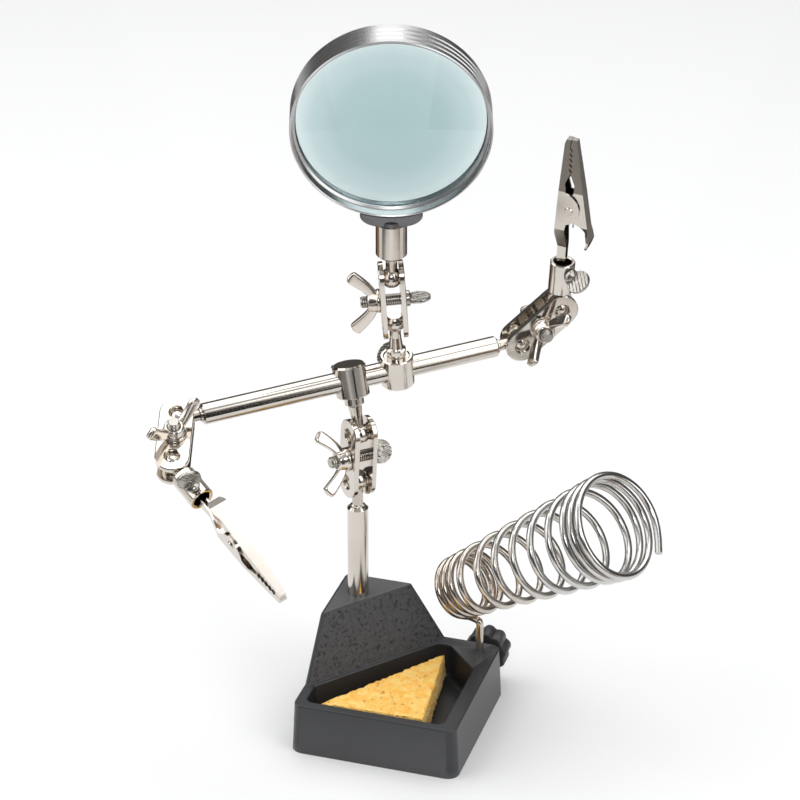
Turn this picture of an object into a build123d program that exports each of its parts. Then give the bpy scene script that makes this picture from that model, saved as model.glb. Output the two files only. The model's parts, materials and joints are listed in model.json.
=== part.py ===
"""Helping hands clamp: weighted base with sponge tray, ball-jointed arms, two clips, a magnifier and an iron holder."""
import os
from math import cos, pi, radians, sin, sqrt, tan

from build123d import *

os.makedirs("parts", exist_ok=True)

# ---- driving dimensions, millimetres and degrees ----
# Frame: origin at the centre of the base's underside, +Z up, tray along the front (-Y) and right (+X).

BASE_SIDE = 57.0
TRAY_RIM_Z = 17.8
PLATEAU_Z = 37.5
DRAFT_ANGLE = 2.8
BASE_CORNER_R = 4.0
SLOPE_HEADING = 50.4
PLATEAU_EDGE_OFFSET = -18.8
SLOPE_FOOT_OFFSET = -10.4
TRAY_WALL = 4.0
TRAY_FLOOR_Z = 6.0
TRAY_LEDGE = 1.6

POST_X, POST_Y = -18.8, 15.5
ROD_R = 3.5
POST_TOP_Z = 70.7
POST_DEPTH = 22.0
POST_BALL_Z = 80.4

BALL_R = 3.45
BALL_FLAT_R = 2.4
NECK_R = 1.85
NECK_ROOT_R = 2.3
SPIGOT_R = 2.0
RUNNING = 0.05

PLATE_GAP = 5.0
PLATE_THICKNESS = 1.6
PLATE_WIDTH = 11.0
BALL_SPACING = 17.3
BALL_HOLE_R = 2.45
SCREW_R = 1.95
SCREW_TIP_PAST_PLATE = 6.4
DISC_R = 4.0
DISC_THICKNESS = 1.2
DISC_OFFSET = 3.9
NUT_HEIGHT = 4.2

BARREL_R = 5.5
BARREL_HALF = 5.4
BARREL_TO_BALL = 18.35

ROD_HEADING, ROD_RISE = 36.8, 4.3
ROD_HALF = 50.5
ROD_END_TO_BALL = 8.0
MAIN_CLAMP_ROLL = 13.6
LENS_CLAMP_ROLL = -5.1
LENS_CLAMP_ALONG = 15.9

SOCKET_R = 4.1
SOCKET_BORE_R = 2.9
SOCKET_START, SOCKET_FLOOR, SOCKET_RIM = 5.8, 8.8, 17.3
SOCKET_SCREW_AT = 13.7

LENS_R = 30.4
RING_R = 31.4
RING_HALF = 5.7
LENS_FROM_BALL = 55.8
FERRULE_R = 5.0
FERRULE_START, FERRULE_END = 8.2, 20.4

WIRE_R = 1.25
LEG_X, LEG_Y = 21.3, 23.2
LEG_BOTTOM_Z, LEG_TOP_Z = 6.0, 28.8
COIL_START = Vector(11.7, 29.1, 36.5)
COIL_HEADING, COIL_RISE = -20.0, 36.4
COIL_R_SMALL, COIL_R_LARGE = 9.5, 16.7
KNOB_Z = 12.2


def heading(azimuth, elevation):
    """Unit vector at an angle about +Z and an angle above the horizontal."""
    a, e = radians(azimuth), radians(elevation)
    return Vector(cos(e) * cos(a), cos(e) * sin(a), sin(e))


def square_to(axis, direction):
    """The direction, turned the least amount that makes it square to the axis."""
    return (direction - axis * axis.dot(direction)).normalized()


def lathe_plane(origin, axis):
    """Sketch plane of a turned piece: X is the radius and Y runs along the axis."""
    radial = Plane(origin=origin, z_dir=axis).x_dir
    return Plane(origin=origin, x_dir=radial, z_dir=radial.cross(axis))


def save(piece, label):
    piece.part.label = label
    export_step(piece.part, f"parts/{label}.step")


def turned(label, origin, axis, outline):
    """A solid of revolution from (radius, height) points."""
    with BuildPart() as piece:
        with BuildSketch(lathe_plane(origin, axis)):
            with BuildLine():
                Polyline(*outline, close=True)
            make_face()
        revolve(axis=Axis(origin, axis))
    save(piece, label)


# ---- layout: the arm from the post's ball to the clips and the lens ----

UP = Vector(0, 0, 1)
POST_BALL = Vector(POST_X, POST_Y, POST_BALL_Z)
POST_LINK = heading(-16.0, 87.3)
POST_JOINT_SCREW = heading(225.4, 1.0)

BAR = heading(ROD_HEADING, ROD_RISE)
BAR_BACK = UP.cross(BAR).normalized()
BAR_UP = BAR.cross(BAR_BACK)


def across_bar(roll):
    """Direction square to the crossbar, rolled back from upright."""
    return BAR_UP * cos(radians(roll)) + BAR_BACK * sin(radians(roll))


MAIN_BALL = POST_BALL + POST_LINK * BALL_SPACING
MAIN_AXIS = across_bar(MAIN_CLAMP_ROLL)
MAIN_CENTRE = MAIN_BALL + MAIN_AXIS * BARREL_TO_BALL

LENS_AXIS = across_bar(LENS_CLAMP_ROLL)
LENS_CLAMP_CENTRE = MAIN_CENTRE + BAR * LENS_CLAMP_ALONG
LENS_LOWER_BALL = LENS_CLAMP_CENTRE + LENS_AXIS * BARREL_TO_BALL
LENS_LINK = heading(-92.0, 79.8)
LENS_JOINT_SCREW = heading(201.2, -4.0)
LENS_UPPER_BALL = LENS_LOWER_BALL + LENS_LINK * BALL_SPACING
LENS_STEM = heading(-72.6, 84.7)
LENS_NORMAL = heading(-72.2, -8.0)
LENS_UP = heading(-72.2, 82.0)
LENS_CENTRE = LENS_UPPER_BALL + LENS_STEM * LENS_FROM_BALL

BAR_REACH = ROD_HALF + ROD_END_TO_BALL
ARMS = {
    "right": {
        "ball": MAIN_CENTRE + BAR * BAR_REACH,
        "outward": BAR,
        "link": heading(29.4, 40.9),
        "screw": heading(-58.0, -2.0),
        "wings": 6.0,
        "clip": heading(-48.0, 83.0),
        "socket_screw": heading(-36.4, -6.9),
        "lever": heading(-5.0, 0.0),
    },
    "left": {
        "ball": MAIN_CENTRE - BAR * BAR_REACH,
        "outward": -BAR,
        "link": heading(-75.5, -24.3),
        "screw": heading(-71.0, 65.6),
        "wings": 132.0,
        "clip": heading(-35.0, -19.5),
        "socket_screw": heading(-94.8, 54.9),
        "lever": heading(-85.0, 70.0),
    },
}


# ---- base ----

SLOPE_RUN = heading(SLOPE_HEADING, 0)
SLOPE_OUT = heading(SLOPE_HEADING - 90, 0)
HALF = BASE_SIDE / 2
POCKET = HALF - TRAY_WALL - 0.9

with BuildPart() as base:
    with BuildSketch(Plane.XY):
        RectangleRounded(BASE_SIDE, BASE_SIDE, BASE_CORNER_R)
    extrude(amount=PLATEAU_Z, taper=DRAFT_ANGLE)
    # The front right half is cut down to the tray's rim, behind a steep diagonal face.
    with BuildSketch(Plane(origin=SLOPE_RUN * -60, x_dir=SLOPE_OUT, z_dir=-SLOPE_RUN)) as cutaway:
        with BuildLine():
            slope = (SLOPE_FOOT_OFFSET - PLATEAU_EDGE_OFFSET) / (PLATEAU_Z - TRAY_RIM_Z)
            Polyline(
                (SLOPE_FOOT_OFFSET, TRAY_RIM_Z),
                (60, TRAY_RIM_Z),
                (60, PLATEAU_Z + 10),
                (PLATEAU_EDGE_OFFSET - 10 * slope, PLATEAU_Z + 10),
                close=True,
            )
        make_face()
    extrude(amount=-120, mode=Mode.SUBTRACT)
    outer_rim = base.edges().filter_by_position(Axis.Z, TRAY_RIM_Z - 0.1, PLATEAU_Z + 0.1)
    fillet(outer_rim.filter_by(lambda e: e.center().Z > TRAY_RIM_Z + 0.5), radius=1.2)
    # Tray: walls along the front, left and right, a diagonal boss at the back right, a ledge below the slope.
    with BuildSketch(Plane.XY.offset(TRAY_FLOOR_Z)) as tray:
        with BuildLine():
            foot = SLOPE_OUT * (SLOPE_FOOT_OFFSET + TRAY_LEDGE)
            left_y = (foot + SLOPE_RUN * ((-POCKET - foot.X) / SLOPE_RUN.X)).Y
            ledge_end = foot + SLOPE_RUN * ((22.2 - foot.Y) / SLOPE_RUN.Y)
            Polyline(
                (-POCKET, left_y),
                (-POCKET, -POCKET),
                (22.1, -POCKET),
                (22.1, 10.4),
                (10.8, 22.2),
                (ledge_end.X, ledge_end.Y),
                close=True,
            )
        make_face()
        fillet(tray.vertices(), radius=1.8)
    extrude(amount=PLATEAU_Z, taper=-2.5, mode=Mode.SUBTRACT)
    rim = base.faces().filter_by(Plane.XY).filter_by_position(Axis.Z, TRAY_RIM_Z - 0.1, TRAY_RIM_Z + 0.1)
    fillet(rim.edges(), radius=0.5)
    fillet(base.faces().filter_by_position(Axis.Z, TRAY_FLOOR_Z - 0.1, TRAY_FLOOR_Z + 0.1).edges(), radius=1.5)
    # Post socket with its screw hole from below, the leg's hole and the clamp stud's hole in the back wall.
    with Locations((POST_X, POST_Y, PLATEAU_Z)):
        Hole(radius=ROD_R + 0.02, depth=POST_DEPTH)
    with Locations(Location((POST_X, POST_Y, 0), (180, 0, 0))):
        CounterSinkHole(radius=2.1, counter_sink_radius=4.2, depth=PLATEAU_Z - POST_DEPTH + 1)
    with Locations((LEG_X, LEG_Y, TRAY_RIM_Z)):
        Hole(radius=WIRE_R + RUNNING, depth=TRAY_RIM_Z - LEG_BOTTOM_Z + 0.5)
    with BuildSketch(Plane(origin=(LEG_X, HALF + 2, KNOB_Z), z_dir=(0, -1, 0))):
        Circle(SPIGOT_R + RUNNING)
    extrude(amount=HALF + 2 - LEG_Y, mode=Mode.SUBTRACT)
save(base, "base_casting")

POST_FOOT_Z = PLATEAU_Z - POST_DEPTH
with BuildPart() as post:
    with BuildSketch(Plane.XY.offset(POST_FOOT_Z)):
        with Locations((POST_X, POST_Y)):
            Circle(ROD_R)
    extrude(amount=POST_TOP_Z - POST_FOOT_Z)
    chamfer(post.faces().sort_by(Axis.Z)[-1].edges(), length=0.8)
    with Locations((POST_X, POST_Y, POST_TOP_Z)):
        Hole(radius=SPIGOT_R + RUNNING, depth=8.5)
    with Locations(Location((POST_X, POST_Y, POST_FOOT_Z), (180, 0, 0))):
        Hole(radius=SCREW_R, depth=9)
save(post, "post")

turned("post_screw", Vector(POST_X, POST_Y, 0), UP, [
    (0, 1.6), (1.2, 1.6), (1.2, 0.1), (4.1, 0.1), (2.0, 2.2), (SCREW_R, 2.4),
    (SCREW_R, POST_FOOT_Z + 7.5), (1.5, POST_FOOT_Z + 8), (0, POST_FOOT_Z + 8),
])

with BuildPart() as sponge:
    with BuildSketch(Plane.XY.offset(TRAY_FLOOR_Z + 0.05)) as wedge:
        Polygon((-20.6, -22.3), (15.6, -21.6), (10.6, 20.4), align=None)
        fillet(wedge.vertices(), radius=0.8)
    extrude(amount=10.6)
save(sponge, "sponge")


# ---- soldering iron holder ----

COIL_AXIS = heading(COIL_HEADING, COIL_RISE)
COIL_UP = square_to(COIL_AXIS, UP)
COIL_SIDE = COIL_AXIS.cross(COIL_UP)
TIGHT_PITCH_SMALL, OPEN_PITCH, TIGHT_PITCH_LARGE = 3.5, 9.6, 3.9
TIGHT_TURNS, OPEN_TURNS = 3.0, 6.0
POINTS_PER_TURN = 10
START_ANGLE, END_ANGLE = 10.0, 360 * 11 + 328.0


def coil_advance(turns):
    """Distance along the coil's axis after some turns: close turns at both ends, open ones between."""
    first = min(turns, TIGHT_TURNS)
    middle = min(max(turns - TIGHT_TURNS, 0), OPEN_TURNS)
    last = max(turns - TIGHT_TURNS - OPEN_TURNS, 0)
    return first * TIGHT_PITCH_SMALL + middle * OPEN_PITCH + last * TIGHT_PITCH_LARGE


coil_turns = (END_ANGLE - START_ANGLE) / 360
coil_length = coil_advance(coil_turns)
coil_points = [Vector(LEG_X, LEG_Y, LEG_BOTTOM_Z), Vector(LEG_X, LEG_Y, LEG_TOP_Z)]
step_count = round(coil_turns * POINTS_PER_TURN)
for step in range(step_count + 1):
    angle = radians(START_ANGLE + (END_ANGLE - START_ANGLE) * step / step_count)
    along = coil_advance(coil_turns * step / step_count)
    radius = COIL_R_SMALL + (COIL_R_LARGE - COIL_R_SMALL) * along / coil_length
    spoke = COIL_SIDE * sin(angle) - COIL_UP * cos(angle)
    coil_points.append(COIL_START + COIL_AXIS * along + spoke * (radius / cos(0.9 * pi / POINTS_PER_TURN)))

bend_radii = []
for before, corner, after in zip(coil_points, coil_points[1:], coil_points[2:]):
    turn = (corner - before).get_angle(after - corner)
    shorter = min((corner - before).length, (after - corner).length)
    bend_radii.append(0.45 * shorter / tan(radians(turn / 2)))

with BuildPart() as coil:
    with BuildLine() as coil_route:
        FilletPolyline(*coil_points, radius=bend_radii)
    with BuildSketch(Plane(origin=coil_points[0], z_dir=UP)):
        Circle(WIRE_R)
    sweep(path=coil_route.wires()[0])
save(coil, "iron_holder_coil")

KNOB_R, KNOB_BACK, KNOB_FRONT = 7.6, HALF + 8.4, HALF + 1.2
with BuildPart() as knob:
    with BuildSketch(Plane(origin=(LEG_X, KNOB_FRONT, KNOB_Z), z_dir=(0, 1, 0))) as scalloped:
        Circle(KNOB_R)
        with PolarLocations(KNOB_R + 1.0, 9):
            Circle(1.8, mode=Mode.SUBTRACT)
        fillet(scalloped.vertices(), radius=0.6)
    extrude(amount=KNOB_BACK - KNOB_FRONT)
    chamfer(knob.faces().sort_by(Axis.Y)[-1].edges(), length=0.5)
    with BuildSketch(Plane(origin=(LEG_X, KNOB_FRONT, KNOB_Z), z_dir=(0, 1, 0))):
        Circle(SPIGOT_R)
    extrude(amount=5, mode=Mode.SUBTRACT)
save(knob, "holder_knob")

STUD_TIP = KNOB_FRONT - LEG_Y - WIRE_R - RUNNING
turned("holder_knob_stud", Vector(LEG_X, KNOB_FRONT, KNOB_Z), Vector(0, -1, 0), [
    (0, -5), (SPIGOT_R, -5), (SPIGOT_R, 4.4), (1.4, STUD_TIP), (0, STUD_TIP),
])


# ---- repeated pieces of the arm ----

def ball_stud(label, ball, direction, shank):
    """A ball with a flat crown on a turned neck; shank points go from the neck to the stud's foot."""
    crown = sqrt(BALL_R**2 - BALL_FLAT_R**2)
    waist = -sqrt(BALL_R**2 - NECK_R**2)
    with BuildPart() as stud:
        with BuildSketch(lathe_plane(ball, direction)):
            with BuildLine():
                Polyline((NECK_R, waist), *shank, (0, shank[-1][1]), (0, crown), (BALL_FLAT_R, crown))
                ThreePointArc((BALL_FLAT_R, crown), (BALL_R, 0), (NECK_R, waist))
            make_face()
        revolve(axis=Axis(ball, direction))
    save(stud, label)


def plain_shank(reach, spigot):
    """Neck that widens to a shoulder at the host's face, and a spigot inside the host."""
    foot = -reach + RUNNING
    return [(NECK_R, foot + 0.8), (NECK_ROOT_R, foot + 0.5), (NECK_ROOT_R, foot),
            (SPIGOT_R, foot), (SPIGOT_R, foot - spigot)]


def thumb_screw(label, seat, axis, length, face):
    """A plain shank with a collar and a flat, ribbed disc head; face is the disc's normal."""
    normal = square_to(axis, face)
    side = Plane(origin=seat, x_dir=axis.cross(normal), z_dir=-normal)
    with BuildPart() as screw:
        with BuildSketch(lathe_plane(seat, axis)):
            with BuildLine():
                Polyline((0, -1.4), (1.8, -1.4), (2.6, -0.9), (2.6, 0.05), (SCREW_R, 0.05),
                         (SCREW_R, length - 0.5), (SCREW_R - 0.5, length), (0, length), close=True)
            make_face()
        revolve(axis=Axis(seat, axis))
        with BuildSketch(side.offset(-DISC_THICKNESS / 2)):
            with Locations((0, -DISC_OFFSET if side.y_dir.dot(axis) > 0 else DISC_OFFSET)):
                Circle(DISC_R)
            with Locations((0, 5 - 0.5 if side.y_dir.dot(axis) > 0 else 0.5 - 5)):
                Rectangle(20, 10, mode=Mode.SUBTRACT)
        extrude(amount=DISC_THICKNESS)
        for face_side in (-1, 1):
            with BuildSketch(side.offset(face_side * (DISC_THICKNESS / 2 - 0.2))):
                with Locations(Location((0, -DISC_OFFSET if side.y_dir.dot(axis) > 0 else DISC_OFFSET, 0), 35)):
                    with GridLocations(1.3, 1, 4, 1):
                        Rectangle(0.35, 2 * DISC_R)
            extrude(amount=face_side * 0.5, mode=Mode.SUBTRACT)
    save(screw, label)


def wing_nut(label, seat, axis, wings):
    """A hub with two wings that rake away from the plate; wings is their direction across the axis."""
    across = square_to(axis, wings)
    with BuildPart() as nut:
        with BuildSketch(lathe_plane(seat, axis)):
            with BuildLine():
                Polyline((0, 0.1), (3.9, 0.1), (3.9, 0.9), (3.5, 1.3), (3.2, NUT_HEIGHT),
                         (0, NUT_HEIGHT), close=True)
            make_face()
        revolve(axis=Axis(seat, axis))
        with BuildSketch(Plane(origin=seat, x_dir=across, z_dir=across.cross(axis))) as wing:
            with BuildLine():
                Polyline((1.0, 0.4), (3.6, 0.4), (5.6, 2.0), (11.3, 7.8), (8.2, 10.9), (3.4, 4.8), (1.0, 3.6),
                         close=True)
            make_face()
            fillet(wing.vertices().sort_by(Axis((0, 0, 0), (1, 1, 0)))[-2:], radius=0.9)
            mirror(about=Plane.YZ)
        extrude(amount=1.05, both=True)
        with BuildSketch(Plane(origin=seat, z_dir=axis)):
            Circle(SCREW_R + RUNNING)
        extrude(amount=3 * NUT_HEIGHT, both=True, mode=Mode.SUBTRACT)
    save(nut, label)


def ball_joint(name, ball, link, screw, wing_roll, disc_roll):
    """Two plates over two balls, squeezed by a thumb screw and a wing nut."""
    centre = ball + link * (BALL_SPACING / 2)
    normal = square_to(link, screw)
    frame = Plane(origin=centre, x_dir=link, z_dir=normal)
    for label, start in (("front_plate", PLATE_GAP / 2), ("back_plate", -PLATE_GAP / 2 - PLATE_THICKNESS)):
        with BuildPart() as plate:
            with BuildSketch(frame.offset(start)):
                SlotCenterToCenter(BALL_SPACING, PLATE_WIDTH)
                with GridLocations(BALL_SPACING, 0, 2, 1):
                    Circle(BALL_HOLE_R, mode=Mode.SUBTRACT)
                Circle(SCREW_R + RUNNING, mode=Mode.SUBTRACT)
            extrude(amount=PLATE_THICKNESS)
            outside = plate.faces().sort_by(Axis(centre, normal))[-1 if start > 0 else 0]
            chamfer(outside.edges(), length=0.25)
        save(plate, f"{name}_{label}")
    plate_face = PLATE_GAP / 2 + PLATE_THICKNESS
    turn = frame.y_dir
    thumb_screw(f"{name}_screw", centre - normal * (plate_face + 0.1), normal,
                2 * plate_face + SCREW_TIP_PAST_PLATE + 0.1,
                link * cos(radians(disc_roll)) + turn * sin(radians(disc_roll)))
    wing_nut(f"{name}_wing_nut", centre + normal * plate_face, normal,
             link * cos(radians(wing_roll)) + turn * sin(radians(wing_roll)))


CLAMP_SHANK = [
    (NECK_R, -5.6), (2.35, -9.6), (2.6, -9.9), (3.2, -10.3), (3.2, 0.35 - BARREL_TO_BALL + 4.7),
    (4.0, 0.35 - BARREL_TO_BALL + 4.7), (4.0, 0.05 - BARREL_TO_BALL + 4.2),
]


def bar_clamp(name, centre, axis, screw):
    """A barrel across the crossbar, open towards its ball stud, with a thumb screw that grips the bar."""
    with BuildPart() as barrel:
        with BuildSketch(lathe_plane(centre, axis)):
            with BuildLine():
                Polyline((0, BARREL_HALF), (BARREL_R - 0.6, BARREL_HALF), (BARREL_R, BARREL_HALF - 0.6),
                         (BARREL_R, 0.4 - BARREL_HALF), (BARREL_R - 0.4, -BARREL_HALF), (4.4, -BARREL_HALF),
                         (4.05, 0.35 - BARREL_HALF), (4.05, -4.2), (0, -4.2), close=True)
            make_face()
        revolve(axis=Axis(centre, axis))
        with BuildSketch(Plane(origin=centre, z_dir=BAR)):
            Circle(ROD_R + RUNNING)
        extrude(amount=2 * BARREL_R, both=True, mode=Mode.SUBTRACT)
        with BuildSketch(Plane(origin=centre, z_dir=screw)):
            Circle(SCREW_R + RUNNING)
        extrude(amount=2 * BARREL_R, mode=Mode.SUBTRACT)
    save(barrel, f"{name}_barrel")
    thumb_screw(f"{name}_screw", centre + screw * (BARREL_R + 0.9), -screw, BARREL_R + 0.9 - ROD_R - 0.1, BAR + axis)


# ---- post joint, main clamp and crossbar ----

ball_stud("post_ball_stud", POST_BALL, UP, plain_shank(POST_BALL_Z - POST_TOP_Z, 7.5))
ball_joint("post_joint", POST_BALL, POST_LINK, POST_JOINT_SCREW, 32.0, 118.0)
ball_stud("main_clamp_stud", MAIN_BALL, -MAIN_AXIS, CLAMP_SHANK)
bar_clamp("main_clamp", MAIN_CENTRE, MAIN_AXIS, -BAR.cross(MAIN_AXIS))

with BuildPart() as crossbar:
    with BuildSketch(Plane(origin=MAIN_CENTRE, z_dir=BAR)):
        Circle(ROD_R)
    extrude(amount=ROD_HALF, both=True)
    chamfer(crossbar.edges().filter_by(GeomType.CIRCLE), length=0.6)
    for end in (1, -1):
        with BuildSketch(Plane(origin=MAIN_CENTRE + BAR * (end * ROD_HALF), z_dir=BAR * -end)):
            Circle(SPIGOT_R + RUNNING)
        extrude(amount=8, mode=Mode.SUBTRACT)
save(crossbar, "crossbar")


# ---- magnifier ----

bar_clamp("lens_clamp", LENS_CLAMP_CENTRE, -LENS_AXIS, -BAR.cross(LENS_AXIS))
ball_stud("lens_clamp_stud", LENS_LOWER_BALL, LENS_AXIS, CLAMP_SHANK)
ball_joint("lens_joint", LENS_LOWER_BALL, LENS_LINK, LENS_JOINT_SCREW, 2.0, 12.0)
ball_stud("lens_stud", LENS_UPPER_BALL, -LENS_STEM, plain_shank(FERRULE_START, 7.0))

turned("lens_ferrule", LENS_UPPER_BALL, LENS_STEM, [
    (SPIGOT_R + RUNNING, FERRULE_START), (FERRULE_R - 0.9, FERRULE_START), (FERRULE_R, FERRULE_START + 0.9),
    (FERRULE_R, FERRULE_END), (3.0, FERRULE_END), (3.0, FERRULE_START + 8), (SPIGOT_R + RUNNING, FERRULE_START + 8),
])

SADDLE_HALF_WIDTH, SADDLE_THICKNESS, SADDLE_TIP, SADDLE_ANGLE = 4.2, 2.7, 0.35, 18.6
LENS_ACROSS = LENS_UP.cross(LENS_NORMAL)
lens_face = Plane(origin=LENS_CENTRE, x_dir=LENS_ACROSS, z_dir=LENS_NORMAL)
RIVET_R, RIVET_HEAD_R = 1.0, 1.6
RIVET_HEAD_FOOT = RING_R - 0.45

with BuildPart() as saddle:
    # A crescent under the ring, then the boss and spigot that stand in the ferrule.
    with BuildSketch(Plane(origin=LENS_UPPER_BALL + LENS_STEM * FERRULE_END, z_dir=LENS_STEM)):
        Circle(FERRULE_R)
    extrude(amount=LENS_FROM_BALL - FERRULE_END - RING_R - 0.4)
    with BuildSketch(Plane(origin=LENS_UPPER_BALL + LENS_STEM * FERRULE_END, z_dir=-LENS_STEM)):
        Circle(3.0)
    extrude(amount=4.0)
    with BuildSketch(lens_face.offset(-SADDLE_HALF_WIDTH)):
        with BuildLine():
            inner, tip = RING_R + 0.05, RING_R + SADDLE_TIP
            low = radians(-90 - SADDLE_ANGLE)
            high = radians(-90 + SADDLE_ANGLE)
            flip = 1 if lens_face.y_dir.dot(LENS_UP) > 0 else -1
            ThreePointArc((inner * cos(low), flip * inner * sin(low)), (0, -flip * inner),
                          (inner * cos(high), flip * inner * sin(high)))
            Line((inner * cos(high), flip * inner * sin(high)), (tip * cos(high), flip * tip * sin(high)))
            ThreePointArc((tip * cos(high), flip * tip * sin(high)), (0, -flip * (RING_R + SADDLE_THICKNESS)),
                          (tip * cos(low), flip * tip * sin(low)))
            Line((tip * cos(low), flip * tip * sin(low)), (inner * cos(low), flip * inner * sin(low)))
        make_face()
    extrude(amount=2 * SADDLE_HALF_WIDTH)
    with BuildSketch(lens_face.offset(-2 * RING_HALF)):
        Circle(RING_R + 0.05)
    extrude(amount=4 * RING_HALF, mode=Mode.SUBTRACT)
    with BuildSketch(Plane(origin=LENS_CENTRE, z_dir=-LENS_UP)):
        Circle(RIVET_R)
    extrude(amount=RING_R + 3.5, mode=Mode.SUBTRACT)
save(saddle, "lens_saddle")

turned("lens_rivet", LENS_CENTRE, -LENS_UP, [
    (0, RING_R - 0.8), (RIVET_HEAD_R, RING_R - 0.8), (RIVET_HEAD_R, RIVET_HEAD_FOOT), (RIVET_R, RIVET_HEAD_FOOT),
    (RIVET_R, RING_R + 3.3), (0, RING_R + 3.3),
])

LENS_FRONT, LENS_BACK, LENS_BULGE = 1.2, -1.2, 2.7
RIB_DEPTH = 0.45
RING_BORE_R = LENS_R + 0.1
BEAD_R = LENS_R - 0.6
ring_outline = [(RING_BORE_R, LENS_FRONT + 0.03), (BEAD_R, LENS_FRONT + 0.2), (BEAD_R, LENS_FRONT + 0.5),
                (RING_BORE_R, LENS_FRONT + 1.1), (RING_BORE_R + 0.1, RING_HALF - 0.2), (RING_R - 0.5, RING_HALF),
                (RING_R - 0.3, RING_HALF), (RING_R, RING_HALF - 0.3)]
for rib in range(3):
    groove = RING_HALF - 2.6 - 2.6 * rib
    ring_outline += [(RING_R, groove + 0.5), (RING_R - RIB_DEPTH, groove + 0.2),
                     (RING_R - RIB_DEPTH, groove - 0.2), (RING_R, groove - 0.5)]
ring_outline += [(RING_R, 0.4 - RING_HALF), (RING_R - 0.3, -RING_HALF), (RING_BORE_R, -RING_HALF)]
with BuildPart() as ring:
    with BuildSketch(lathe_plane(LENS_CENTRE, LENS_NORMAL)):
        with BuildLine():
            Polyline(*ring_outline, close=True)
        make_face()
    revolve(axis=Axis(LENS_CENTRE, LENS_NORMAL))
    with BuildSketch(Plane(origin=LENS_CENTRE, z_dir=-LENS_UP)):
        Circle(RIVET_R)
    extrude(amount=RING_R + 3, mode=Mode.SUBTRACT)
    with BuildSketch(Plane(origin=LENS_CENTRE, z_dir=-LENS_UP)):
        Circle(RIVET_HEAD_R)
    extrude(amount=RIVET_HEAD_FOOT, mode=Mode.SUBTRACT)
save(ring, "lens_ring")

with BuildPart() as glass:
    with BuildSketch(lathe_plane(LENS_CENTRE, LENS_NORMAL)):
        with BuildLine():
            sphere = (LENS_R**2 + LENS_BULGE**2) / (2 * LENS_BULGE)
            half_sag = LENS_BULGE - (sphere - sqrt(sphere**2 - (LENS_R / 2) ** 2))
            Line((LENS_R, LENS_BACK), (LENS_R, LENS_FRONT))
            ThreePointArc((LENS_R, LENS_FRONT), (LENS_R / 2, LENS_FRONT + half_sag), (0, LENS_FRONT + LENS_BULGE))
            Line((0, LENS_FRONT + LENS_BULGE), (0, LENS_BACK - LENS_BULGE))
            ThreePointArc((0, LENS_BACK - LENS_BULGE), (LENS_R / 2, LENS_BACK - half_sag), (LENS_R, LENS_BACK))
        make_face()
    revolve(axis=Axis(LENS_CENTRE, LENS_NORMAL))
save(glass, "lens_glass")

turned("lens_retaining_ring", LENS_CENTRE, LENS_NORMAL, [
    (29.3, LENS_BACK - 1.2), (RING_BORE_R - 0.05, LENS_BACK - 1.2), (RING_BORE_R - 0.05, LENS_BACK - 0.05),
    (30.0, LENS_BACK - 0.12), (29.3, LENS_BACK - 0.5),
])


# ---- clip arms ----

TIP_Y, TOOTH_PITCH, TEETH = 45.3, 1.85, 5
PIVOT_X, PIVOT_Y = 1.2, 20.4
SHEET = 0.6
JAW_SLACK = 0.08


def parting(y):
    """Where the two jaws meet, across the clip, at a distance along it."""
    return 1.1 - 0.06 * (y - PIVOT_Y)


def teeth_line(offset):
    """The jaws' meeting edge from the tip to below the teeth, moved sideways to leave a gap."""
    points = [(parting(TIP_Y) + offset, TIP_Y)]
    y = 42.4
    for _ in range(TEETH):
        points.append((parting(y) + offset - 0.4, y))
        y -= TOOTH_PITCH / 2
        points.append((parting(y) + offset + 0.4, y))
        y -= TOOTH_PITCH / 2
    points.append((parting(y) + offset, y))
    return points


def channel_jaw(frame, side, cavity, plan, wall_plan):
    """A folded sheet jaw: side view and plan crossed, then hollowed from the meeting edge."""
    plan_plane = Plane(origin=frame.origin, x_dir=frame.y_dir, z_dir=frame.x_dir)
    with BuildPart() as hollow:
        with BuildSketch(frame):
            Polygon(*cavity, align=None)
        extrude(amount=6, both=True)
        with BuildSketch(plan_plane):
            Polygon(*wall_plan, *[(y, -z) for y, z in reversed(wall_plan)], align=None)
        extrude(amount=30, both=True, mode=Mode.INTERSECT)
    with BuildPart() as jaw:
        with BuildSketch(frame):
            add(side)
        extrude(amount=6, both=True)
        with BuildSketch(plan_plane):
            Polygon(*plan, *[(y, -z) for y, z in reversed(plan)], align=None)
        extrude(amount=30, both=True, mode=Mode.INTERSECT)
        add(hollow.part, mode=Mode.SUBTRACT)
        with BuildSketch(frame):
            with Locations((PIVOT_X, PIVOT_Y)):
                Circle(0.95)
        extrude(amount=6, both=True, mode=Mode.SUBTRACT)
    return jaw


with BuildSketch(Plane.XY) as lower_side:
    with BuildLine():
        Polyline((PIVOT_X - 1.4, 26.4), (parting(29.5) - 1.6, 29.5), *reversed(teeth_line(-JAW_SLACK)),
                 (-2.0, TIP_Y), (-2.5, 43.8), (-3.1, 11), (-1.95, 6), (-1.95, -5.5), (1.0, -5.5), (1.0, 7),
                 (0.2, 12), (PIVOT_X - 0.6, 15.2))
        ThreePointArc((PIVOT_X - 1.4, 26.4), (PIVOT_X + 3.4, 20.6), (PIVOT_X - 0.6, 15.2))
    make_face()

with BuildSketch(Plane.XY) as upper_side:
    with BuildLine():
        Polyline((PIVOT_X - 0.6, 24.6), (PIVOT_X + 0.9, 26.6), (parting(29.5) + 1.6, 29.5),
                 *reversed(teeth_line(JAW_SLACK)), (1.4, TIP_Y), (7.8, 14.6), (8.8, 10.0), (8.0, 7.2), (7.4, 7.5),
                 (8.1, 10.1), (7.2, 13.8), (6.2, 14.6), (PIVOT_X + 1.2, 16.4))
        ThreePointArc((PIVOT_X - 0.6, 24.6), (PIVOT_X - 3.0, 20.2), (PIVOT_X + 1.2, 16.4))
    make_face()

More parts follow.
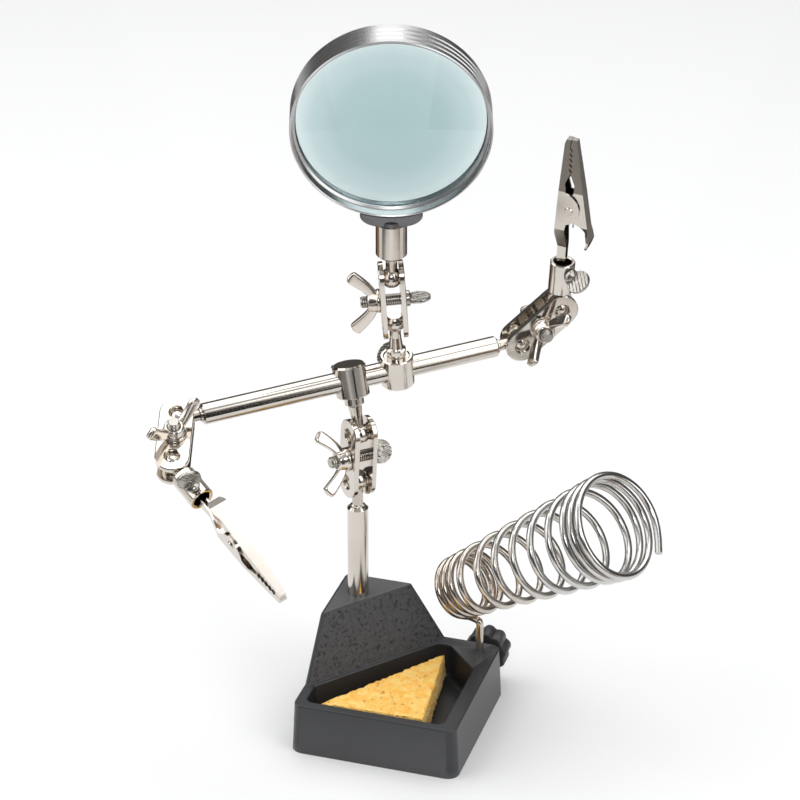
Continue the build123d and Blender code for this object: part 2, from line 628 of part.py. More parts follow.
LOWER_CAVITY = [(-1.35, -7), (-1.35, 6.1), (-2.5, 11.1), (-1.92, 43.4), (12, 43.4), (12, -7)]
LOWER_PLAN = [(-6, 1.2), (6, 1.2), (13, 2.8), (27, 2.8), (46, 1.3)]
UPPER_CAVITY = [(-4, 43.6), (1.1, 43.6), (7.0, 15.2), (6.9, 14.0), (-4, 14.0)]
UPPER_PLAN = [(7, 2.0), (8.4, 2.9), (10.5, 3.15), (12.6, 2.9), (15, 2.1), (27, 2.1), (46, 1.0)]


def narrower(plan):
    """A jaw's plan with the sheet's thickness taken off each side wall."""
    return [(y, half - SHEET) for y, half in plan]


def clip_arm(side, arm):
    """Ball stud, socket with its thumb screw, and a sprung alligator clip held in the socket."""
    ball = arm["ball"] + arm["link"] * BALL_SPACING
    axis = arm["clip"]
    ball_stud(f"{side}_socket_stud", ball, -axis, [
        (NECK_R, RUNNING - SOCKET_START), (SPIGOT_R, RUNNING - SOCKET_START), (SPIGOT_R, 0.3 - SOCKET_FLOOR)])
    screw = square_to(axis, arm["socket_screw"])
    screw_point = ball + axis * SOCKET_SCREW_AT
    with BuildPart() as socket:
        with BuildSketch(lathe_plane(ball, axis)):
            with BuildLine():
                Polyline((SPIGOT_R + RUNNING, SOCKET_START), (3.4, SOCKET_START), (SOCKET_R, SOCKET_START + 0.7),
                         (SOCKET_R, SOCKET_RIM - 0.3), (SOCKET_R - 0.3, SOCKET_RIM), (SOCKET_BORE_R + 0.3, SOCKET_RIM),
                         (SOCKET_BORE_R, SOCKET_RIM - 0.3), (SOCKET_BORE_R, SOCKET_FLOOR),
                         (SPIGOT_R + RUNNING, SOCKET_FLOOR), close=True)
            make_face()
        revolve(axis=Axis(ball, axis))
        with BuildSketch(Plane(origin=screw_point, z_dir=screw)):
            Circle(SCREW_R + RUNNING)
        extrude(amount=2 * SOCKET_R, mode=Mode.SUBTRACT)
    save(socket, f"{side}_socket")
    thumb_screw(f"{side}_socket_screw", screw_point + screw * (SOCKET_R + 0.5), -screw, 2.0, heading(-72.6, 27.7))

    lever = square_to(axis, arm["lever"])
    frame = Plane(origin=ball + axis * SOCKET_RIM, x_dir=lever, z_dir=lever.cross(axis))
    save(channel_jaw(frame, lower_side.sketch, LOWER_CAVITY, LOWER_PLAN, narrower(LOWER_PLAN)),
         f"{side}_clip_lower_jaw")
    save(channel_jaw(frame, upper_side.sketch, UPPER_CAVITY, UPPER_PLAN, narrower(UPPER_PLAN)),
         f"{side}_clip_upper_jaw")
    pivot = frame.origin + frame.x_dir * PIVOT_X + frame.y_dir * PIVOT_Y
    turned(f"{side}_clip_rivet", pivot, frame.z_dir, [
        (0, -3.2), (1.1, -3.2), (1.4, -2.85), (0.9, -2.85), (0.9, 2.85), (1.4, 2.85), (1.1, 3.2), (0, 3.2)])
    with BuildPart() as spring:
        for turn_offset in (-0.55, 0, 0.55):
            with BuildSketch(lathe_plane(pivot, frame.z_dir)):
                with Locations((1.55, turn_offset)):
                    Circle(0.3)
            revolve(axis=Axis(pivot, frame.z_dir))
        for offset, start, foot in ((-0.55, -1.55, (-0.2, -7.0)), (0.55, 1.55, (1.9, -5.5))):
            root = pivot + frame.x_dir * start + frame.z_dir * offset
            with BuildSketch(Plane(origin=root, z_dir=frame.x_dir * foot[0] + frame.y_dir * foot[1])):
                Circle(0.3)
            extrude(amount=sqrt(foot[0] ** 2 + foot[1] ** 2))
    save(spring, f"{side}_clip_spring")


for arm_side, arm_data in ARMS.items():
    ball_stud(f"crossbar_{arm_side}_stud", arm_data["ball"], arm_data["outward"], plain_shank(ROD_END_TO_BALL, 7.0))
    ball_joint(f"{arm_side}_joint", arm_data["ball"], arm_data["link"], arm_data["screw"], arm_data["wings"], 40.0)
    clip_arm(arm_side, arm_data)
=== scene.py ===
"""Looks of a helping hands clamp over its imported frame.

Finishes for the carried-over nodes, and detailed pieces in place of the plain ones: threaded thumb
screws, cast wing nuts, lens and saddle, knob, wire coil, clip springs and sponge.
"""
import json
import math

import bmesh
import bpy
from mathutils import Matrix, Vector, noise


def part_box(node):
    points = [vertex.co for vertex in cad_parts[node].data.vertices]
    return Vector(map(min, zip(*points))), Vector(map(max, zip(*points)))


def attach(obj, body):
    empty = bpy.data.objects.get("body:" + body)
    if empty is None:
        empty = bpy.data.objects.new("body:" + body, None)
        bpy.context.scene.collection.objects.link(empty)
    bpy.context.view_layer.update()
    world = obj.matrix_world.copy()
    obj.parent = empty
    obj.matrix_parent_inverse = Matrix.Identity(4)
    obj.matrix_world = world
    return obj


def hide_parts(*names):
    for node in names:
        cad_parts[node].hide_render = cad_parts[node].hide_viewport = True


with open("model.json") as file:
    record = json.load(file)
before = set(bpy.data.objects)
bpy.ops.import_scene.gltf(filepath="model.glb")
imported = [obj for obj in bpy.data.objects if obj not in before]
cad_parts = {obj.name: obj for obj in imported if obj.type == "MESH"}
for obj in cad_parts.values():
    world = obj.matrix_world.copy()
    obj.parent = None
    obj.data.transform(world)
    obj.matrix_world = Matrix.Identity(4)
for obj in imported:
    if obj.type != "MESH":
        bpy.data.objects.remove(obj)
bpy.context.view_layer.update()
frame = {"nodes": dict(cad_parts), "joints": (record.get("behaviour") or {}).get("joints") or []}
JOINTS = {joint["name"]: joint for joint in frame["joints"]}
NODES = frame["nodes"]
MM = 0.001


# ---- node helpers ----

class Shader:
    """A material being built: adds nodes, sets their values and links them."""

    def __init__(self, name):
        self.material = bpy.data.materials.new(name)
        self.material.use_nodes = True
        self.tree = self.material.node_tree
        self.surface = self.tree.nodes["Principled BSDF"]
        self.output = self.tree.nodes["Material Output"]

    def put(self, socket, value):
        if isinstance(value, bpy.types.NodeSocket):
            self.tree.links.new(value, socket)
        elif value is not None:
            socket.default_value = value

    def node(self, kind, settings=None, **inputs):
        made = self.tree.nodes.new("ShaderNode" + kind)
        for key, value in (settings or {}).items():
            setattr(made, key, value)
        for key, value in inputs.items():
            self.put(made.inputs[key.replace("_", " ")], value)
        return made

    def place(self):
        return self.node("TexCoord").outputs["Object"]

    def math(self, operation, first, second=0.0):
        made = self.node("Math", {"operation": operation})
        self.put(made.inputs[0], first)
        self.put(made.inputs[1], second)
        return made.outputs[0]

    def noise(self, scale, detail=4.0, roughness=0.5, vector=None):
        vector = vector or self.place()
        made = self.node("TexNoise", Vector=vector, Scale=scale, Detail=detail, Roughness=roughness)
        return made.outputs[0]

    def ramp(self, value, *stops):
        made = self.node("ValToRGB")
        self.put(made.inputs[0], value)
        marks = made.color_ramp.elements
        while len(marks) < len(stops):
            marks.new(0.5)
        for mark, (position, colour) in zip(marks, stops):
            mark.position = position
            mark.color = (colour, colour, colour, 1) if isinstance(colour, float) else (*colour, 1)
        return made.outputs[0]

    def mix(self, factor, first, second):
        made = self.node("Mix", {"data_type": "RGBA"})
        self.put(made.inputs[0], factor)
        self.put(made.inputs[6], first if isinstance(first, bpy.types.NodeSocket) else (*first, 1))
        self.put(made.inputs[7], second if isinstance(second, bpy.types.NodeSocket) else (*second, 1))
        return made.outputs[2]

    def along(self, axis):
        """Distance along an axis, for turned marks that ring a piece."""
        made = self.node("VectorMath", {"operation": "DOT_PRODUCT"})
        self.put(made.inputs[0], self.place())
        made.inputs[1].default_value = axis
        return made.outputs["Value"]

    def bump(self, height, strength, distance, normal=None):
        made = self.node("Bump", Height=height, Strength=strength, Distance=distance)
        if normal:
            self.put(made.inputs["Normal"], normal)
        return made.outputs[0]

    def finish(self, **inputs):
        for key, value in inputs.items():
            self.put(self.surface.inputs[key.replace("_", " ")], value)
        return self.material


def edges(shader, low, high):
    """0 on flats, 1 on sharp outer edges."""
    pointiness = shader.node("NewGeometry").outputs["Pointiness"]
    return shader.ramp(pointiness, (low, 0.0), (high, 1.0))


# ---- materials ----

def plated(name, tint=(0.66, 0.615, 0.56), rough=0.13, turned=None, tarnish_and_crevice_shade=(0.34, 0.28, 0.22), marks=1.0):
    """Plated metal: a bright tint, faint handling marks, fine scratches, patches of tarnish, and painted
    shade darkening the crevices.

    turned is the axis that lathe marks ring; marks scales the scratches.
    """
    s = Shader(name)
    cloud = s.noise(60, 3.0, 0.5)
    fine = s.noise(2600, 3.0, 0.6)
    stretch = s.node("Mapping", Vector=s.place(), Scale=(4200.0, 260.0, 700.0), Rotation=(0.5, 0.3, 0.8))
    scratch = s.noise(1.0, 2.0, 0.5, vector=stretch.outputs[0])
    colour = s.mix(s.ramp(cloud, (0.40, 0.0), (0.80, 0.22)), tint, tarnish_and_crevice_shade)
    # Painted shade: hollows and crevices are darkened towards the tarnish colour.
    painted_crevice_shade = s.ramp(s.node("NewGeometry").outputs["Pointiness"], (0.42, 1.0), (0.49, 0.0))
    colour = s.mix(s.math("MULTIPLY", painted_crevice_shade, 0.55), colour, tarnish_and_crevice_shade)
    roughness = s.math("ADD", s.math("MULTIPLY", cloud, 0.06), rough - 0.03)
    scratched = s.ramp(scratch, (0.58, 0.0), (0.74, 1.0))
    roughness = s.math("ADD", roughness, s.math("MULTIPLY", scratched, 0.05 * marks))
    normal = s.bump(fine, 0.05 * marks, 0.00004)
    normal = s.bump(scratch, 0.05 * marks, 0.00004, normal)
    if turned:
        rings = s.node("TexNoise", {"noise_dimensions": "1D"}, W=s.along(turned), Scale=5200.0, Detail=3.0)
        rings = rings.outputs[0]
        normal = s.bump(rings, 0.08, 0.00005, normal)
        roughness = s.math("ADD", roughness, s.math("MULTIPLY", rings, 0.04))
    return s.finish(Base_Color=colour, Metallic=1.0, Roughness=roughness, Normal=normal)


SLOPE_NORMAL = (0.71, -0.585, 0.39)


def cast_paint():
    """Satin black paint on a casting: orange peel, and a greyer sloped face with coarse dark pits."""
    s = Shader("black cast paint")
    peel = s.noise(900, 3.0, 0.5)
    cloud = s.noise(40, 4.0, 0.6)
    facing = s.node("VectorMath", {"operation": "DOT_PRODUCT"})
    s.put(facing.inputs[0], s.node("NewGeometry").outputs["True Normal"])
    facing.inputs[1].default_value = SLOPE_NORMAL
    slope = s.ramp(facing.outputs["Value"], (0.93, 0.0), (0.97, 1.0))
    pit_cells = s.node("TexVoronoi", Vector=s.place(), Scale=520.0).outputs["Distance"]
    coarse = s.noise(360, 6.0, 0.75)
    specks = s.ramp(s.noise(800, 3.0, 0.6), (0.36, 1.0), (0.47, 0.0))
    colour = s.mix(s.ramp(cloud, (0.3, 0.0), (0.7, 1.0)), (0.016, 0.017, 0.019), (0.026, 0.027, 0.030))
    colour = s.mix(s.math("MULTIPLY", slope, 0.7), colour, (0.085, 0.085, 0.090))
    colour = s.mix(s.math("MULTIPLY", specks, slope), colour, (0.012, 0.012, 0.013))
    colour = s.mix(s.math("MULTIPLY", edges(s, 0.52, 0.60), 0.5), colour, (0.16, 0.16, 0.165))
    roughness = s.math("ADD", s.math("MULTIPLY", cloud, 0.12), 0.30)
    roughness = s.math("ADD", roughness, s.math("MULTIPLY", slope, 0.10))
    normal = s.bump(peel, 0.16, 0.0001)
    rough_height = s.math("MULTIPLY", s.math("ADD", coarse, s.math("MULTIPLY", pit_cells, -0.35)), slope)
    normal = s.bump(rough_height, 1.0, 0.0006, normal)
    return s.finish(Base_Color=colour, Roughness=roughness, Normal=normal, Specular_IOR_Level=0.55)


def clear_glass():
    """Thick glass with a blue-green cast that is strongest through its thick middle, and fine dust."""
    s = Shader("lens glass")
    from_centre = s.node("VectorMath", {"operation": "DISTANCE"})
    s.put(from_centre.inputs[0], s.place())
    from_centre.inputs[1].default_value = LENS_CENTRE
    depth = s.ramp(s.math("DIVIDE", from_centre.outputs["Value"], LENS_RADIUS),
                   (0.0, 0.0), (0.55, 0.10), (0.82, 0.45), (1.0, 1.0))
    dust = s.ramp(s.noise(2200, 2.0, 0.5), (0.66, 0.0), (0.74, 1.0))
    colour = s.mix(depth, (0.40, 0.56, 0.57), (0.78, 0.89, 0.90))
    colour = s.mix(s.math("MULTIPLY", dust, 0.05), colour, (0.95, 0.97, 0.97))
    roughness = s.math("ADD", s.math("MULTIPLY", dust, 0.02), 0.004)
    return s.finish(Base_Color=colour, Roughness=roughness, Transmission_Weight=1.0, IOR=1.46)


def black_plastic():
    """Moulded black plastic with a fine grain and edges worn greyer."""
    s = Shader("knob plastic")
    grain = s.noise(1600, 3.0, 0.6)
    colour = s.mix(edges(s, 0.5, 0.58), (0.018, 0.018, 0.019), (0.06, 0.06, 0.062))
    roughness = s.math("ADD", s.math("MULTIPLY", grain, 0.2), 0.32)
    return s.finish(Base_Color=colour, Roughness=roughness, Normal=s.bump(grain, 0.25, 0.00008))


def cellulose():
    """Torn cellulose sponge: pale walls, and pores of two sizes with painted shade of a deeper ochre in
    them.
    """
    s = Shader("sponge")
    warp = s.noise(300, 4.0, 0.6)
    big = s.node("TexVoronoi", Vector=s.place(), Scale=430.0, Randomness=1.0).outputs["Distance"]
    small = s.node("TexVoronoi", Vector=s.place(), Scale=1500.0, Randomness=1.0).outputs["Distance"]
    holes = s.ramp(big, (0.06, 0.0), (0.24, 1.0))
    fine = s.ramp(small, (0.05, 0.0), (0.28, 1.0))
    walls = s.math("MULTIPLY", s.math("ADD", s.math("MULTIPLY", fine, 0.6), 0.4), holes)
    light = s.mix(s.ramp(warp, (0.38, 0.0), (0.62, 1.0)), (0.98, 0.50, 0.07), (1.0, 0.68, 0.20))
    # Painted shade: the pores take a deeper ochre than the walls.
    colour = s.mix(walls, (0.78, 0.36, 0.05), light)
    normal = s.bump(walls, 0.9, 0.0005)
    return s.finish(Base_Color=colour, Roughness=0.92, Normal=normal, Sheen_Weight=0.2,
                    Subsurface_Weight=0.12, Subsurface_Radius=(0.002, 0.001, 0.0005))


def spring_steel():
    """Drawn wire: bright, with fine lines, warmer and darker towards the coil's small end."""
    s = Shader("spring wire")
    heat = s.ramp(s.along((0.764, -0.266, 0.589)), (0.02, 1.0), (0.075, 0.0))
    cloud = s.noise(160, 4.0, 0.6)
    tint = s.mix(s.math("MULTIPLY", heat, 0.55), (0.66, 0.65, 0.63), (0.62, 0.47, 0.33))
    colour = s.mix(s.ramp(cloud, (0.4, 0.0), (0.8, 0.4)), tint, (0.34, 0.33, 0.32))
    roughness = s.math("ADD", s.math("MULTIPLY", cloud, 0.14), 0.10)
    return s.finish(Base_Color=colour, Metallic=1.0, Roughness=roughness,
                    Normal=s.bump(s.noise(3000, 2.0), 0.08, 0.00004))


LENS_CENTRE = sum((Vector(corner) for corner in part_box("lens_glass")), Vector()) / 2
LENS_RADIUS = 30.4 * MM
BAR_AXIS = tuple(JOINTS["crossbar_slide"]["axis"])
STEM_AXIS = tuple(JOINTS["lens_head_twist"]["axis"])
NICKEL = plated("nickel plate")
ROD_BAR = plated("turned rod, crossbar", rough=0.11, turned=BAR_AXIS)
ROD_POST = plated("turned rod, post", rough=0.11, turned=(0, 0, 1))
FERRULE = plated("turned ferrule", rough=0.14, turned=STEM_AXIS)
RING = plated("ring plate", tint=(0.56, 0.56, 0.565), rough=0.27, tarnish_and_crevice_shade=(0.34, 0.34, 0.34), marks=0.2)
SADDLE = plated("dark saddle", tint=(0.16, 0.16, 0.165), rough=0.26, tarnish_and_crevice_shade=(0.09, 0.09, 0.09))
THREAD = plated("cut thread", tint=(0.46, 0.44, 0.40), rough=0.24, tarnish_and_crevice_shade=(0.14, 0.13, 0.12))
CAST = plated("cast nickel", tint=(0.72, 0.66, 0.60), rough=0.17, tarnish_and_crevice_shade=(0.36, 0.29, 0.24))
STEEL = plated("plain steel", tint=(0.62, 0.61, 0.59), rough=0.2, tarnish_and_crevice_shade=(0.3, 0.29, 0.28))
PAINT = cast_paint()
GLASS = clear_glass()
PLASTIC = black_plastic()
SPONGE = cellulose()
WIRE = spring_steel()

FINISH = {
    "base_casting": PAINT,
    "post": ROD_POST,
    "crossbar": ROD_BAR,
    "lens_ferrule": FERRULE,
    "lens_ring": RING,
    "lens_retaining_ring": RING,
    "lens_saddle": SADDLE,
    "lens_glass": GLASS,
    "holder_knob": PLASTIC,
    "holder_knob_stud": STEEL,
    "post_screw": STEEL,
    "lens_rivet": STEEL,
    "sponge": SPONGE,
    "iron_holder_coil": WIRE,
}


def dress(piece, material):
    """Gives every slot of a piece one material."""
    if not piece.material_slots:
        piece.data.materials.append(material)
    for slot in piece.material_slots:
        slot.material = material


for node_name, node in NODES.items():
    dress(node, FINISH.get(node_name, NICKEL))


# ---- mesh helpers ----

def heading(turn, rise):
    """Unit vector that turns from +X about Z and then rises, both in radians."""
    return Vector((math.cos(rise) * math.cos(turn), math.cos(rise) * math.sin(turn), math.sin(rise)))


def local_frame(origin, axis, towards):
    """Matrix whose Z runs along an axis and whose X points towards a direction, as nearly as it can."""
    z = Vector(axis).normalized()
    x = Vector(towards)
    x = (x - z * x.dot(z)).normalized()
    turn = Matrix((x, z.cross(x), z)).transposed().to_4x4()
    return Matrix.Translation(Vector(origin)) @ turn


def add_piece(name, mesh, material):
    piece = bpy.data.objects.new(name, mesh)
    bpy.context.scene.collection.objects.link(piece)
    dress(piece, material)
    mesh.shade_smooth()
    return piece


def stand_in(piece, node_name, body):
    """Lets a piece ride on a body and stand for a CAD node, which it hides."""
    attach(piece, body)
    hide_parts(node_name)


def ring_point(mesh, radius, angle, height):
    """A vertex at a radius, angle and height in millimetres about the local Z."""
    return mesh.verts.new((radius * math.cos(angle) * MM, radius * math.sin(angle) * MM, height * MM))


def grid_faces(mesh, rows):
    """Skins closed rows of vertices that all have the same length."""
    count = len(rows[0])
    for lower, upper in zip(rows, rows[1:]):
        for i in range(count):
            j = (i + 1) % count
            mesh.faces.new((lower[i], lower[j], upper[j], upper[i]))


def lathe(mesh, outline, segments=48):
    """Skins (radius, height) points in millimetres about the local Z; a radius of 0 closes it."""
    rows = []
    for radius, height in outline:
        count = segments if radius else 1
        rows.append([ring_point(mesh, radius, 2 * math.pi * i / segments, height) for i in range(count)])
    for lower, upper in zip(rows, rows[1:]):
        if len(lower) == 1:
            for i in range(segments):
                mesh.faces.new((lower[0], upper[(i + 1) % segments], upper[i]))
        elif len(upper) == 1:
            for i in range(segments):
                mesh.faces.new((lower[i], lower[(i + 1) % segments], upper[0]))
        else:
            grid_faces(mesh, [lower, upper])


def finish_mesh(name, mesh, placing, material, sharp=35):
    """Places a bmesh in the object's frame, points its faces outwards and marks its sharp edges."""
    bmesh.ops.recalc_face_normals(mesh, faces=mesh.faces)
    bmesh.ops.transform(mesh, matrix=placing, verts=mesh.verts)
    data = bpy.data.meshes.new(name)
    mesh.to_mesh(data)
    mesh.free()
    piece = add_piece(name, data, material)
    data.set_sharp_from_angle(angle=math.radians(sharp))
    return piece


def node_points(node_name):
    """The vertices of a CAD node, in metres."""
    return [Vector(vertex.co) for vertex in NODES[node_name].data.vertices]


# ---- thumb screws ----

SCREW_R, THREAD_ROOT_R, THREAD_PITCH = 1.93, 1.58, 0.7
DISC_R, DISC_HALF, DISC_OFFSET = 4.0, 0.6, 3.9
RIB_DEPTH, RIB_PITCH, RIB_SLANT = 0.2, 1.15, 0.6
DISC_RINGS, DISC_SPOKES = 14, 72
THREAD_STEPS, THREAD_SEGMENTS, THREAD_START = 8, 36, 0.15
COLLAR = [(0, -1.9), (1.5, -1.85), (1.9, -1.4), (2.35, -1.25), (2.6, -1.0), (2.6, -0.12), (2.5, 0.0),
          (1.75, 0.02), (1.6, 0.3), (0, 0.3)]
HEAD_FROM_SEAT = 2.2


def thread(mesh, start, stop):
    """A right-hand thread from start to stop along the local Z, tapering to its root at both ends."""
    rows = []
    count = round((stop - start) / THREAD_PITCH * THREAD_STEPS)
    for step in range(count + 1):
        height = start + (stop - start) * step / count
        fade = min(1.0, 2.0 * (height - start) / THREAD_PITCH, 1.4 * (stop - height) / THREAD_PITCH)
        row = []
        for i in range(THREAD_SEGMENTS):
            turn = i / THREAD_SEGMENTS
            phase = (height / THREAD_PITCH - turn) % 1.0
            crest = min(1.0, 2.4 * (1.0 - abs(2.0 * phase - 1.0)))
            radius = THREAD_ROOT_R + (SCREW_R - THREAD_ROOT_R) * max(0.0, crest * fade)
            row.append(ring_point(mesh, radius, 2 * math.pi * turn, height))
        rows.append(row)
    grid_faces(mesh, rows)
    mesh.faces.new(rows[-1])
    mesh.faces.new(rows[0])


def ribbed_disc(mesh, centre_height):
    """A flat thumb disc that stands on edge over the collar: rounded rim, slanted ribs on both faces."""
    for side in (-1, 1):
        rows = []
        for ring in range(DISC_RINGS + 1):
            out = ring / DISC_RINGS
            radius = DISC_R * math.sin(out * math.pi / 2)
            rim = math.cos(out * math.pi / 2)
            thick = DISC_HALF * min(1.0, rim * 5.0) ** 0.5
            row = []
            for i in range(DISC_SPOKES if ring else 1):
                angle = 2 * math.pi * i / DISC_SPOKES
                x, z = radius * math.cos(angle), radius * math.sin(angle)
                across = x * math.cos(RIB_SLANT) + z * math.sin(RIB_SLANT)
                wave = 0.5 + 0.5 * math.cos(2 * math.pi * across / RIB_PITCH)
                rib = RIB_DEPTH * wave * min(1.0, rim * 2.5)
                row.append(mesh.verts.new((x * MM, side * (thick - rib) * MM, (centre_height + z) * MM)))
            rows.append(row)
        for i in range(DISC_SPOKES):
            mesh.faces.new((rows[0][0], rows[1][i], rows[1][(i + 1) % DISC_SPOKES]))
        grid_faces(mesh, rows[1:])
    bmesh.ops.remove_doubles(mesh, verts=mesh.verts, dist=0.00001)


def disc_normal(node_name, seat, axis):
    """The thin direction of a screw's disc, read from its node's mesh."""
    normal, least = None, None
    side = axis.orthogonal().normalized()
    head = [p - seat for p in node_points(node_name) if (p - seat).dot(axis) < -HEAD_FROM_SEAT * MM]
    for step in range(180):
        direction = Matrix.Rotation(math.radians(step), 3, axis) @ side
        spread = max(abs(p.dot(direction)) for p in head)
        if least is None or spread < least:
            normal, least = direction, spread
    return normal


def thumb_screw(node_name, seat_depth, length):
    """Replaces a plain screw node by a threaded one with a collar and a ribbed disc.

    seat_depth is how far the collar's face is behind the joint's point; length is the thread's.
    """
    joint = JOINTS[f"{node_name}_turn"]
    axis = Vector(joint["axis"]).normalized()
    seat = Vector(joint["pos_m"]) - axis * seat_depth * MM
    normal = disc_normal(node_name, seat, axis)
    mesh = bmesh.new()
    ribbed_disc(mesh, -DISC_OFFSET)
    lathe(mesh, COLLAR)
    thread(mesh, THREAD_START, length)
    placing = local_frame(seat, axis, normal.cross(axis))
    piece = finish_mesh(f"{node_name}.threaded", mesh, placing, THREAD)
    stand_in(piece, node_name, node_name)


# ---- wing nuts ----

NUT_SEAT = 4.1
NUT_HEIGHT = 4.2
HUB = [(2.02, 0.35), (2.3, 0.1), (3.8, 0.1), (3.95, 0.3), (3.95, 0.95), (3.8, 1.15), (3.5, 1.4),
       (3.3, NUT_HEIGHT - 0.8), (3.1, NUT_HEIGHT - 0.25), (2.75, NUT_HEIGHT), (2.3, NUT_HEIGHT),
       (2.02, NUT_HEIGHT - 0.3), (2.02, 0.35)]
WING_PATH = [(1.6, 2.0), (4.4, 2.9), (6.8, 5.6), (9.9, 9.5)]
WING_HALF_WIDTH, WING_WIDENS, WING_HALF_THICK, WING_THINS = 1.35, 0.85, 1.25, 0.2
WING_STEPS, WING_AROUND, WING_SQUARENESS, WING_TIP = 26, 32, 0.42, 0.12


def wing_centre(t):
    """Point and direction at t, from 0 to 1, on a wing's middle line: the Bezier cubic of WING_PATH."""
    a, b, c, d = (Vector(p) for p in WING_PATH)
    point = a * (1 - t) ** 3 + b * 3 * t * (1 - t) ** 2 + c * 3 * t * t * (1 - t) + d * t ** 3
    slope = (b - a) * (1 - t) ** 2 + (c - b) * 2 * t * (1 - t) + (d - c) * t * t
    return point, slope.normalized()


def wing(mesh, side):
    """One cast wing: a squarish section that widens towards its rounded end."""
    rows = []
    for step in range(WING_STEPS + 1):
        t = step / WING_STEPS
        point, slope = wing_centre(t)
        close = min(1.0, (1.0 - t) * 9.0)
        round_off = math.sqrt(max(0.0, 1.0 - (1.0 - close) ** 2))
        half_width = (WING_HALF_WIDTH + WING_WIDENS * t) * max(WING_TIP, round_off)
        half_thick = (WING_HALF_THICK - WING_THINS * t) * max(WING_TIP, round_off ** 0.7)
        row = []
        for i in range(WING_AROUND):
            angle = 2 * math.pi * i / WING_AROUND
            c, s = math.cos(angle), math.sin(angle)
            u = half_width * math.copysign(abs(c) ** WING_SQUARENESS, c)
            v = half_thick * math.copysign(abs(s) ** WING_SQUARENESS, s)
            x = point.x + slope.y * u
            z = point.y - slope.x * u
            row.append(mesh.verts.new((side * x * MM, v * MM, z * MM)))
        rows.append(row)
    grid_faces(mesh, rows)
    mesh.faces.new(rows[0])
    mesh.faces.new(rows[-1])


def wing_nut(node_name):
    """Replaces a plain wing nut node by a cast one: a bored hub with a flange and two raked wings."""
    joint = JOINTS[f"{node_name}_turn"]
    axis = Vector(joint["axis"]).normalized()
    seat = Vector(joint["pos_m"]) + axis * NUT_SEAT * MM
    points = [p - seat for p in node_points(node_name)]
    tip = max(points, key=lambda p: (p - axis * p.dot(axis)).length)
    mesh = bmesh.new()
    lathe(mesh, HUB)
    bmesh.ops.remove_doubles(mesh, verts=mesh.verts, dist=0.000005)
    wing(mesh, 1)
    wing(mesh, -1)
    piece = finish_mesh(f"{node_name}.cast", mesh, local_frame(seat, axis, tip), CAST, 50)
    stand_in(piece, node_name, node_name)


# ---- lens ----

LENS_HEADING, LENS_TILT = math.radians(-72.2), math.radians(-8.0)
LENS_NORMAL = heading(LENS_HEADING, LENS_TILT)
LENS_HALF_RIM, LENS_BULGE = 1.2, 2.7
LENS_RINGS, LENS_SEGMENTS = 28, 128
RING_R, RING_HALF = 31.4, 5.7
SADDLE_ANGLE, SADDLE_THICK, SADDLE_EASE = math.radians(18.0), 3.8, 0.45
SADDLE_CLEAR, SADDLE_LIFT, SADDLE_TIP = 0.05, 0.06, 0.05
SADDLE_STEPS = 36
FERRULE_END = 20.4
BOSS_R, BOSS_LENGTH, BOSS_OVERLAP = 4.7, 1.6, 0.02
SPIGOT_R, SPIGOT_LENGTH = 2.9, 4.0


def crescent_saddle():
    """Replaces the saddle node: a crescent with rounded ends under the ring, its boss and its spigot."""
    mesh = bmesh.new()
    rows = []
    back = [(-RING_HALF, SADDLE_EASE), (-RING_HALF + SADDLE_EASE / 3, SADDLE_EASE / 3),
            (-RING_HALF + SADDLE_EASE, 0)]
    front = [(-height, inset) for height, inset in reversed(back)]
    for height, inset in back + front:
        outer, inner = [], []
        for step in range(SADDLE_STEPS + 1):
            spread = math.sin((2 * step / SADDLE_STEPS - 1) * math.pi / 2)
            reach = (SADDLE_ANGLE - inset / RING_R) * spread - math.pi / 2
            thick = (SADDLE_THICK - inset) * math.sqrt(max(0.0, 1 - spread ** 4))
            outer.append((RING_R + SADDLE_LIFT + max(thick, SADDLE_TIP), reach))
            inner.append((RING_R + SADDLE_CLEAR, reach))
        rows.append([ring_point(mesh, radius, reach, height) for radius, reach in outer + inner[::-1]])
    grid_faces(mesh, rows)
    mesh.faces.new(rows[0])
    mesh.faces.new(rows[-1])
    up = Vector((0, 0, 1))
    up = (up - LENS_NORMAL * up.dot(LENS_NORMAL)).normalized()
    placing = local_frame(LENS_CENTRE, LENS_NORMAL, up.cross(LENS_NORMAL))
    crescent = finish_mesh("lens_saddle.crescent", mesh, placing, SADDLE, 40)
    stem = JOINTS["lens_head_twist"]
    boss = bmesh.new()
    start, foot, top = FERRULE_END - SPIGOT_LENGTH, FERRULE_END + BOSS_OVERLAP, FERRULE_END + BOSS_LENGTH
    lathe(boss, [(0, start), (SPIGOT_R, start), (SPIGOT_R, foot), (BOSS_R, foot), (BOSS_R, top), (0, top)])
    placing = local_frame(stem["pos_m"], stem["axis"], (1, 0, 0))
    shank = finish_mesh("lens_saddle.boss", boss, placing, SADDLE, 40)
    for piece in (crescent, shank):
        stand_in(piece, "lens_saddle", "lens_head")


def ground_lens():
    """Replaces the glass node: a smooth double-convex lens with a flat ground rim."""
    rim = LENS_RADIUS / MM
    sphere = (rim ** 2 + LENS_BULGE ** 2) / (2 * LENS_BULGE)
    face = []
    for ring in range(LENS_RINGS + 1):
        radius = rim * ring / LENS_RINGS
        face.append((radius, LENS_HALF_RIM + LENS_BULGE - sphere + math.sqrt(sphere ** 2 - radius ** 2)))
    mesh = bmesh.new()
    lathe(mesh, [(radius, -height) for radius, height in face] + face[::-1], LENS_SEGMENTS)
    placing = local_frame(LENS_CENTRE, LENS_NORMAL, (0, 0, 1))
    piece = finish_mesh("lens_glass.ground", mesh, placing, GLASS, 30)
    stand_in(piece, "lens_glass", "lens_head")


# ---- knob ----

KNOB_R, KNOB_LOBES, KNOB_LENGTH, KNOB_SCALLOP = 7.6, 9, 7.2, 0.95
LOBE_SEGMENTS = 16
